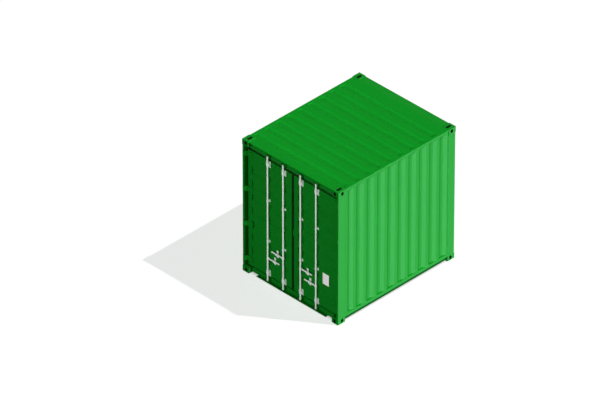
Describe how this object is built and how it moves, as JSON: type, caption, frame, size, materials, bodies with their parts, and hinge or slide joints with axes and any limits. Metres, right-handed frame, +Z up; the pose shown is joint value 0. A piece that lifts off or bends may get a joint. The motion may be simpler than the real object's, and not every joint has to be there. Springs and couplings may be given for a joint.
{
  "type": "shipping container",
  "caption": "Short high-cube steel freight container: corrugated walls and roof on a frame with corner castings, and a pair of hinged doors held by lock bars with handles.",
  "frame": {"origin": "bottom centre of the container, on the ground under its corner castings", "axes": "+X from the door end to the blind end, +Y to the left when facing the doors, +Z up"},
  "size_m": [2.991, 2.438, 2.896],
  "materials": {
    "green_paint": "satin green paint on steel",
    "zinc_steel": "pale dull galvanized steel",
    "seal_rubber": "matt black rubber",
    "plywood": "sealed plywood",
    "plate_white": "bare white-painted aluminium"
  },
  "bodies": {
    "frame": {"upper_corner_castings": "green_paint", "lower_corner_castings": "green_paint", "rear_left_post": "green_paint", "rear_right_post": "green_paint", "front_left_post": "green_paint", "front_right_post": "green_paint", "left_top_rail": "green_paint", "right_top_rail": "green_paint", "left_bottom_rail": "green_paint", "right_bottom_rail": "green_paint", "front_top_rail": "green_paint", "front_bottom_rail": "green_paint", "door_header": "green_paint", "door_sill": "green_paint", "left_side_wall": "green_paint", "right_side_wall": "green_paint", "front_wall": "green_paint", "roof_panel": "green_paint", "floor_crossmembers": "green_paint", "floor_panels": "plywood", "floor_centre_rail": "zinc_steel", "cam_keepers": "green_paint", "hinge_pins": "zinc_steel"},
    "left_door": {"left_door_frame": "green_paint", "left_door_panel": "green_paint", "left_door_seal": "seal_rubber", "left_hinge_blades": "green_paint", "left_bar_guides": "zinc_steel", "left_handle_retainers": "zinc_steel"},
    "right_door": {"right_door_frame": "green_paint", "right_door_panel": "green_paint", "right_door_seal": "seal_rubber", "right_hinge_blades": "green_paint", "right_bar_guides": "zinc_steel", "right_handle_retainers": "zinc_steel", "centre_block": "green_paint", "data_plate": "plate_white"},
    "left_outer_bar": {"left_outer_lock_bar": "zinc_steel"},
    "left_inner_bar": {"left_inner_lock_bar": "zinc_steel"},
    "right_inner_bar": {"right_inner_lock_bar": "zinc_steel"},
    "right_outer_bar": {"right_outer_lock_bar": "zinc_steel"},
    "left_outer_grip": {"left_outer_handle": "zinc_steel"},
    "left_inner_grip": {"left_inner_handle": "zinc_steel"},
    "right_inner_grip": {"right_inner_handle": "zinc_steel"},
    "right_outer_grip": {"right_outer_handle": "zinc_steel"}
  },
  "joints": [
    {"name": "left_door_swing", "type": "hinge", "parent": "frame", "child": "left_door", "pos_m": [-1.4825, 1.206, 0], "axis": [0, 0, -1], "range_deg": [0, 270]},
    {"name": "right_door_swing", "type": "hinge", "parent": "frame", "child": "right_door", "pos_m": [-1.4825, -1.206, 0], "axis": [0, 0, 1], "range_deg": [0, 270]},
    {"name": "left_outer_bar_turn", "type": "hinge", "parent": "left_door", "child": "left_outer_bar", "pos_m": [-1.4515, 0.614, 0], "axis": [0, 0, 1], "range_deg": [-90, 0]},
    {"name": "left_inner_bar_turn", "type": "hinge", "parent": "left_door", "child": "left_inner_bar", "pos_m": [-1.4515, 0.219, 0], "axis": [0, 0, -1], "range_deg": [-90, 0]},
    {"name": "right_inner_bar_turn", "type": "hinge", "parent": "right_door", "child": "right_inner_bar", "pos_m": [-1.4515, -0.219, 0], "axis": [0, 0, 1], "range_deg": [-90, 0]},
    {"name": "right_outer_bar_turn", "type": "hinge", "parent": "right_door", "child": "right_outer_bar", "pos_m": [-1.4515, -0.614, 0], "axis": [0, 0, -1], "range_deg": [-90, 0]},
    {"name": "left_outer_handle_lift", "type": "hinge", "parent": "left_outer_bar", "child": "left_outer_grip", "pos_m": [-1.4515, 0.576, 0.55], "axis": [-1, 0, 0], "range_deg": [0, 25]},
    {"name": "left_inner_handle_lift", "type": "hinge", "parent": "left_inner_bar", "child": "left_inner_grip", "pos_m": [-1.4515, 0.257, 0.735], "axis": [1, 0, 0], "range_deg": [0, 25]},
    {"name": "right_inner_handle_lift", "type": "hinge", "parent": "right_inner_bar", "child": "right_inner_grip", "pos_m": [-1.4515, -0.257, 0.735], "axis": [-1, 0, 0], "range_deg": [0, 25]},
    {"name": "right_outer_handle_lift", "type": "hinge", "parent": "right_outer_bar", "child": "right_outer_grip", "pos_m": [-1.4515, -0.576, 0.55], "axis": [1, 0, 0], "range_deg": [0, 25]}
  ]
}
